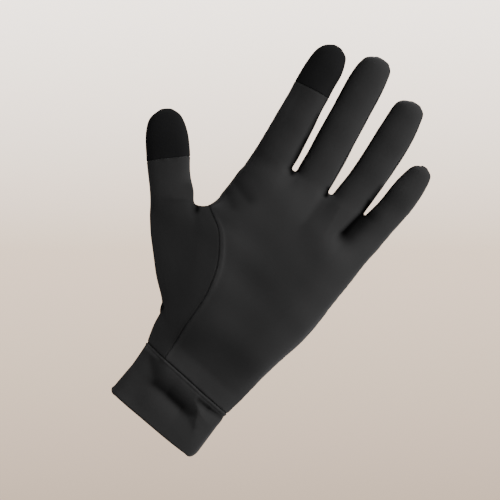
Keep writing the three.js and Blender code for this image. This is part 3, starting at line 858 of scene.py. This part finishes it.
# Each place beside a seam of its own piece is pulled in or raised by the nearest one.
pieces_at = [{names[face[piece_layer]] for face in vertex.link_faces} for vertex in skin.verts]
seam_away = np.full(len(folded), FAR)
sewn = np.zeros(len(folded))
for pair, edges in seams.items():
    kind = kind_of_seam(pair)
    tree = kdtree.KDTree(len(edges) * SAMPLES)
    for edge in edges:
        for i in range(SAMPLES):
            tree.insert(edge.verts[0].co.lerp(edge.verts[1].co, i / SAMPLES), edge.verts[0].index)
    tree.balance()
    for vertex in skin.verts:
        beside = pieces_at[vertex.index] & pair
        if not beside:
            continue
        away = tree.find(vertex.co)[2]
        i = vertex.index
        if away < seam_away[i]:
            seam_away[i] = away
            ridge = kind.ridge
            if len(beside) == 1:
                ridge = kind.high.get(min(beside), ridge)
            groove = kind.groove * math.exp(-((away / kind.width) ** 2))
            sewn[i] = ridge * math.exp(-(((away - kind.away) / RIDGE_WIDTH) ** 2)) - groove
pucker = PUCKER_HEIGHT * ripple(folded, PUCKER_LENGTH, seed=8) * np.exp(-seam_away / PUCKER_REACH)
outer = folded + folded_normal * (sewn + pucker)[:, None]
outer[:, 2] = np.maximum(outer[:, 2], 0)

# Palm and back panels
# Two panels of thin charcoal stretch jersey, each in one with its side of the four fingers. They
# are sewn to each other down the outer edges, and to the strips between the fingers.
JERSEY_WALL = 1.2
SEAM_GAP = 0.08  # the outer face of each piece ends this short of the seam line
INSIDE_HEIGHT = 0.4  # lowest height of the inside where the glove lies on the ground
OPEN_AWAY = 3  # an edge further than this from any seam is an open end
HEM_STEPS = 8
SHARP_ANGLE = 55
METRES = 0.001


def edges_of(polygons, top):
    """The edges where a piece ends, and at each of their points the direction out of the piece."""
    owner = {}  # the face at each edge, in the direction that the face runs along it
    for corners in polygons:
        for a, b in zip(corners, corners[1:] + corners[:1]):
            owner[a, b] = corners
    edges = [pair for pair in owner if pair[::-1] not in owner]
    outward = {}
    for a, b in edges:
        line = top[b] - top[a]
        line /= np.linalg.norm(line)
        into = top[owner[a, b]].mean(axis=0) - top[a]
        into -= line * (into @ line)
        for end in (a, b):
            outward.setdefault(end, []).append(-into / np.linalg.norm(into))
    return edges, {end: np.mean(ways, axis=0) for end, ways in outward.items()}


def cut(name, wall, hem=0.0):
    """A piece of the skin as a closed wall. hem is how far its open end is rounded outwards."""
    number = names.index(name)
    faces = [face for face in skin.faces if face[piece_layer] == number]
    used = sorted({vertex.index for face in faces for vertex in face.verts})
    order = {old: new for new, old in enumerate(used)}
    polygons = [[order[vertex.index] for vertex in face.verts] for face in faces]
    top, under = outer[used].copy(), folded[used] - folded_normal[used] * wall
    under[:, 2] = np.maximum(under[:, 2], min(INSIDE_HEIGHT, wall / 2))
    edges, outward = edges_of(polygons, top)
    is_open = {i for i in outward if seam_away[used[i]] > OPEN_AWAY}
    for i, way in outward.items():
        if i not in is_open:
            top[i] -= way * SEAM_GAP

    count = len(used)
    points = [*top, *under]
    walls = polygons + [[i + count for i in reversed(corners)] for corners in polygons]
    steps = HEM_STEPS if hem else 1
    rims = {}
    for i, way in outward.items():
        rims[i] = [i]
        for step in range(1, steps):
            turn = math.pi * step / steps
            bulge = way * hem * math.sin(turn)
            points.append(mix(top[i], under[i], (1 - math.cos(turn)) / 2) + bulge * (i in is_open))
            rims[i].append(len(points) - 1)
        rims[i].append(i + count)
    for a, b in edges:
        for step in range(steps):
            walls.append([rims[b][step], rims[a][step], rims[a][step + 1], rims[b][step + 1]])

    mesh = bpy.data.meshes.new(name)
    mesh.from_pydata(np.array(points) * METRES, [], walls)
    # seam_away darkens the seam lines; deep carries the folds' painted shade to the material.
    for attribute, outside, inside in (("seam_away", seam_away, FAR), ("deep", painted_shade_share, 0)):
        values = np.full(len(points), float(inside))
        values[:count] = outside[used]
        mesh.attributes.new(attribute, "FLOAT", "POINT").data.foreach_set("value", values)
    mesh.shade_smooth()
    mesh.set_sharp_from_angle(angle=math.radians(SHARP_ANGLE))
    piece = bpy.data.objects.new(name, mesh)
    bpy.context.scene.collection.objects.link(piece)
    return piece


class Sum:
    """A number in a material, on which sums are written as plain expressions."""

    def __init__(self, finish, socket):
        self.finish, self.socket = finish, socket

    def with_math(self, operation, *numbers):
        settings = {"operation": operation}
        return self.finish.node("ShaderNodeMath", settings, dict(enumerate(numbers)))

    def __add__(self, other):
        return self.with_math("ADD", self, other)

    def __sub__(self, other):
        return self.with_math("SUBTRACT", self, other)

    def __rsub__(self, other):
        return self.with_math("SUBTRACT", other, self)

    def __mul__(self, other):
        return self.with_math("MULTIPLY", self, other)

    __radd__, __rmul__ = __add__, __mul__


class Finish:
    """The nodes that give a material, or the room around, its look."""

    def __init__(self, owner):
        owner.use_nodes = True
        self.tree = owner.node_tree
        self.tree.nodes.clear()

    def node(self, kind, settings, sockets, out=0):
        """Adds a node, sets it, gives its sockets their values or links, and returns an output."""
        node = self.tree.nodes.new(kind)
        for setting, value in settings.items():
            if setting == "stops":
                ramp = node.color_ramp.elements
                while len(ramp) < len(value):
                    ramp.new(0.5)
                for stop, (place, colour) in zip(ramp, value):
                    stop.position, stop.color = place, (*colour, 1)
            else:
                setattr(node, setting, value)
        for socket, value in sockets.items():
            if isinstance(value, Sum):
                self.tree.links.new(value.socket, node.inputs[socket])
            else:
                node.inputs[socket].default_value = value
        return Sum(self, node.outputs[out]) if node.outputs else node


def blend_colours(finish, share, first, second):
    settings = {"data_type": "RGBA"}
    return finish.node("ShaderNodeMix", settings, {0: share, 6: first, 7: second}, out=2)


def smooth_range(finish, value, span, results):
    """A value that goes smoothly from the first result to the second one over a span."""
    sockets = {"Value": value, "From Min": span[0], "From Max": span[1]}
    sockets |= {"To Min": results[0], "To Max": results[1]}
    return finish.node("ShaderNodeMapRange", {"interpolation_type": "SMOOTHSTEP"}, sockets)


def shades(colour, *shares):
    """Darker and lighter shades of a colour."""
    return [[*(channel * share for channel in colour), 1] for share in shares]


JERSEY = (0.0320, 0.0315, 0.0315)
RIB_SCALE = 700.0  # ribs 0.45 mm apart
SPECKLE_SCALE = 1600.0  # flecks of 0.6 mm
MOTTLE_SCALE = 55.0  # cloudy patches of 18 mm
BUMP_HEIGHT = 0.0001


def jersey(name, colour, grain=0):
    """Thin stretch jersey: fine ribs of stitches up the panel, faintly mottled, dull with a soft
    sheen where the light grazes it. Its seam lines are darker with thread and painted shade, and
    painted shade darkens its folds. grain turns the ribs, in degrees."""
    material = bpy.data.materials.new(name)
    finish = Finish(material)
    place = finish.node("ShaderNodeTexCoord", {}, {}, out="Object")
    rotation = (0, 0, math.radians(grain))
    turned = finish.node("ShaderNodeMapping", {}, {"Vector": place, "Rotation": rotation})
    # Where the cloth turns down its sides, the ribs are counted by height instead.
    normal = finish.node("ShaderNodeNewGeometry", {}, {}, out="Normal")
    upright = finish.node("ShaderNodeSeparateXYZ", {}, {"Vector": normal}, out="Z")
    flat = upright.with_math("ABSOLUTE", upright)
    steep = smooth_range(finish, flat, (0.45, 0.75), (1.0, 0.0))

    def ribs(direction):
        settings = {"wave_type": "BANDS", "bands_direction": direction, "wave_profile": "SIN"}
        sockets = {"Vector": turned, "Scale": RIB_SCALE, "Distortion": 1.2}
        sockets |= {"Detail": 1.0, "Detail Scale": 1.5}
        return finish.node("ShaderNodeTexWave", settings, sockets, out="Fac")

    def noise(scale, detail):
        sockets = {"Vector": place, "Scale": scale, "Detail": detail}
        return finish.node("ShaderNodeTexNoise", {}, sockets, out="Fac")

    weave = ribs("X") * (1 - steep) + ribs("Z") * steep
    speckle, mottle = noise(SPECKLE_SCALE, 2.0), noise(MOTTLE_SCALE, 3.0)
    worn = speckle * 0.5 + mottle * 0.5
    seam_thread_and_shade, dark, light = shades(colour, 0.25, 0.8, 1.2)
    base = blend_colours(finish, worn, dark, light)
    # The line of a seam is darker: its thread, and painted shade down in its groove.
    away = finish.node("ShaderNodeAttribute", {"attribute_name": "seam_away"}, {}, out="Fac")
    off_seam_line = smooth_range(finish, away, (0.1, 0.65), (0.3, 1.0))
    base = blend_colours(finish, off_seam_line, seam_thread_and_shade, base)
    height = weave * 0.6 + speckle * 0.4
    sockets = {"Strength": 0.5, "Distance": BUMP_HEIGHT, "Height": height}
    bump = finish.node("ShaderNodeBump", {}, sockets)
    shader = finish.node(
        "ShaderNodeBsdfPrincipled",
        {},
        {
            "Base Color": base,
            "Roughness": mottle * 0.1 + 0.78,
            "Specular IOR Level": 0.3,
            "Sheen Weight": 0.34,
            "Sheen Roughness": 0.5,
            "Sheen Tint": (0.8, 0.8, 0.82, 1),
            "Normal": bump,
        },
    )
    # Painted shade: down in the folds the cloth is mixed towards a near-black diffuse, as if little
    # light came back.
    shade = finish.node("ShaderNodeBsdfDiffuse", {}, {"Color": (0.001, 0.001, 0.001, 1)})
    deep = finish.node("ShaderNodeAttribute", {"attribute_name": "deep"}, {}, out="Fac")
    surface = finish.node("ShaderNodeMixShader", {}, {0: deep, 1: shader, 2: shade})
    finish.node("ShaderNodeOutputMaterial", {}, {"Surface": surface})
    return material


for name, slot in (("palm_panel", "palm_jersey"), ("back_panel", "back_jersey")):
    panel = cut(name, JERSEY_WALL)
    panel.data.materials.append(jersey(slot, JERSEY))
    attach(panel, "root")
    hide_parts(name)

# Fourchettes
# Three strips of the same jersey that line the facing sides of the fingers. Each runs down one
# finger, round the fork and up the next one, and is sewn to the palm in front and the back behind.
FOURCHETTE_SHADED_COLOUR = (0.016, 0.016, 0.016)  # darker than the jersey: painted shade for the gaps between the fingers
fourchette_jersey = jersey("fourchette_jersey", FOURCHETTE_SHADED_COLOUR)
for number in range(len(FINGERS) - 1):
    fourchette = cut(fourchette_after(number), JERSEY_WALL)
    fourchette.data.materials.append(fourchette_jersey)
    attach(fourchette, "root")
    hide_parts(fourchette_after(number))

# Thumb panel
# The set-in thumb, one shaped panel of the jersey that wraps the thumb and runs down to the wrist.
# A curved seam joins it to the palm, and its ribs lean with the thumb.
thumb_panel = cut("thumb_panel", JERSEY_WALL)
THUMB_PANEL_SHADED_COLOUR = (0.0294, 0.029, 0.029)  # a little darker than the palm's jersey all over the panel: painted shade for its slope away from the lamp
thumb_panel.data.materials.append(jersey("thumb_jersey", THUMB_PANEL_SHADED_COLOUR, grain=-THUMB_LEAN / 2))
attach(thumb_panel, "root")
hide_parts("thumb_panel")

# Touch caps
# The tips of the index finger and thumb, in a closer and blacker conductive knit, sewn on askew.
TOUCH = (0.010, 0.010, 0.0105)
KNIT_SCALE = 1500.0  # stitches of 0.7 mm
CAP_MOTTLE_SCALE = 90.0


def touch_fabric(name):
    material = bpy.data.materials.new(name)
    finish = Finish(material)
    place = finish.node("ShaderNodeTexCoord", {}, {}, out="Object")
    sockets = {"Vector": place, "Scale": KNIT_SCALE}
    knit = finish.node("ShaderNodeTexVoronoi", {}, sockets, out="Distance")
    sockets = {"Vector": place, "Scale": CAP_MOTTLE_SCALE, "Detail": 3.0}
    mottle = finish.node("ShaderNodeTexNoise", {}, sockets, out="Fac")
    dark, light = shades(TOUCH, 0.75, 1.25)
    base = blend_colours(finish, mottle * 0.6 + knit * 0.4, dark, light)
    sockets = {"Strength": 0.5, "Distance": BUMP_HEIGHT, "Height": knit}
    bump = finish.node("ShaderNodeBump", {}, sockets)
    shader = finish.node(
        "ShaderNodeBsdfPrincipled",
        {},
        {
            "Base Color": base,
            "Roughness": mottle * 0.1 + 0.85,
            "Specular IOR Level": 0.2,
            "Sheen Weight": 0.05,
            "Sheen Roughness": 0.6,
            "Normal": bump,
        },
    )
    finish.node("ShaderNodeOutputMaterial", {}, {"Surface": shader})
    return material


touch = touch_fabric("touch_fabric")
for name in ("index_tip", "thumb_tip"):
    cap = cut(name, JERSEY_WALL)
    cap.data.materials.append(touch)
    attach(cap, "root")
    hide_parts(name)

# Cuff
# A band of the jersey folded double, so that its open end is a rounded fold with no topstitch, and
# sewn to the hand at the wrist seam. It lies slack, with a dent across its front.
CUFF_WALL = 2
cuff = cut("cuff", CUFF_WALL, hem=CUFF_WALL / 2)
cuff.data.materials.append(jersey("cuff_jersey", JERSEY))
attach(cuff, "root")
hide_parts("cuff")

# Ground
# A plain pale ground that shades evenly from light to darker down the picture. It gives off its own
# light, so that the glove's shadow stays faint.
VIEW_TURN = math.radians(33)  # the picture's turn against the glove
PICTURE_UP = Vector((-math.sin(VIEW_TURN), math.cos(VIEW_TURN), 0))
PICTURE_RIGHT = Vector((math.cos(VIEW_TURN), math.sin(VIEW_TURN), 0))
PICTURE_MIDDLE = Vector((-0.0094, 0.0019, 0))
PICTURE_WIDTH = 0.275
GROUND_SIZE = 6
GROUND_DROP = 0.0002  # how far it lies below the glove
GROUND_GLOW = 1.0
# From the bottom of the picture to its top.
GROUND_COLOURS = [(0.0, (1.0, 0.76, 0.58)), (0.5, (1.65, 1.28, 0.98)), (1.0, (3.4, 3.0, 2.65))]

ground_mesh = bpy.data.meshes.new("ground")
half = GROUND_SIZE / 2
corners = [(x * half, y * half, -GROUND_DROP) for x, y in ((-1, -1), (1, -1), (1, 1), (-1, 1))]
ground_mesh.from_pydata(corners, [], [(0, 1, 2, 3)])
ground = bpy.data.objects.new("ground", ground_mesh)
bpy.context.scene.collection.objects.link(ground)
pale_ground = bpy.data.materials.new("pale_ground")
finish = Finish(pale_ground)
place = finish.node("ShaderNodeTexCoord", {}, {}, out="Object")
sockets = {0: place, 1: tuple(PICTURE_UP)}
height = finish.node("ShaderNodeVectorMath", {"operation": "DOT_PRODUCT"}, sockets, out="Value")
share = height * (1 / PICTURE_WIDTH) + (0.5 - PICTURE_MIDDLE.dot(PICTURE_UP) / PICTURE_WIDTH)
shade = finish.node("ShaderNodeValToRGB", {"stops": GROUND_COLOURS}, {"Fac": share})
shader = finish.node(
    "ShaderNodeBsdfPrincipled",
    {},
    {
        "Base Color": (0.03, 0.03, 0.03, 1),
        "Roughness": 0.9,
        "Specular IOR Level": 0.0,
        "Emission Color": shade,
        "Emission Strength": GROUND_GLOW,
    },
)
finish.node("ShaderNodeOutputMaterial", {}, {"Surface": shader})
ground_mesh.materials.append(pale_ground)
ground.visible_diffuse = ground.visible_glossy = False

# Light
# A large soft lamp on the picture's right, a weak low one on its left that catches the edges there,
# and a pale room above. Little comes up from below, so the gaps between the fingers stay dark.
ROOM_LIGHT = 0.105
ROOM_BELOW = 0.02


def lamp(name, turn, elevation, away, size, power):
    """An area lamp that points at the glove. turn is counted up from the picture's right."""
    turn, elevation = math.radians(turn), math.radians(elevation)
    level = PICTURE_RIGHT * math.cos(turn) + PICTURE_UP * math.sin(turn)
    toward = level * math.cos(elevation) + Vector((0, 0, math.sin(elevation)))
    light = bpy.data.objects.new(name, bpy.data.lights.new(name, "AREA"))
    light.data.energy, light.data.size = power, size
    light.location = toward * away
    light.rotation_euler = toward.to_track_quat("Z", "Y").to_euler()
    bpy.context.scene.collection.objects.link(light)


lamp("lamp_right", turn=17, elevation=32, away=1.6, size=1.4, power=30)
lamp("lamp_left", turn=175, elevation=4, away=1.6, size=0.8, power=7.5)

room = bpy.data.worlds.new("room")
finish = Finish(room)
way = finish.node("ShaderNodeTexCoord", {}, {}, out="Generated")
above = finish.node("ShaderNodeSeparateXYZ", {}, {"Vector": way}, out="Z")
strength = smooth_range(finish, above, (-0.15, 0.25), (ROOM_BELOW, ROOM_LIGHT))
glow = finish.node("ShaderNodeBackground", {}, {"Color": (1, 0.99, 0.98, 1), "Strength": strength})
finish.node("ShaderNodeOutputWorld", {}, {"Surface": glow})
bpy.context.scene.world = room

# Camera
# Straight above the palm, turned so that the fingers point up and to the right. Its long lens makes
# what lies higher hardly larger.
LENS = 200
SENSOR = 36
PALM_HEIGHT = 0.012  # where a width in the picture is true
camera = bpy.data.objects.new("camera", bpy.data.cameras.new("camera"))
camera.data.lens, camera.data.sensor_width = LENS, SENSOR
away = PICTURE_WIDTH * LENS / SENSOR
camera.location = PICTURE_MIDDLE + Vector((0, 0, PALM_HEIGHT + away))
camera.rotation_euler = (0, 0, VIEW_TURN)
bpy.context.scene.collection.objects.link(camera)
bpy.context.scene.camera = camera
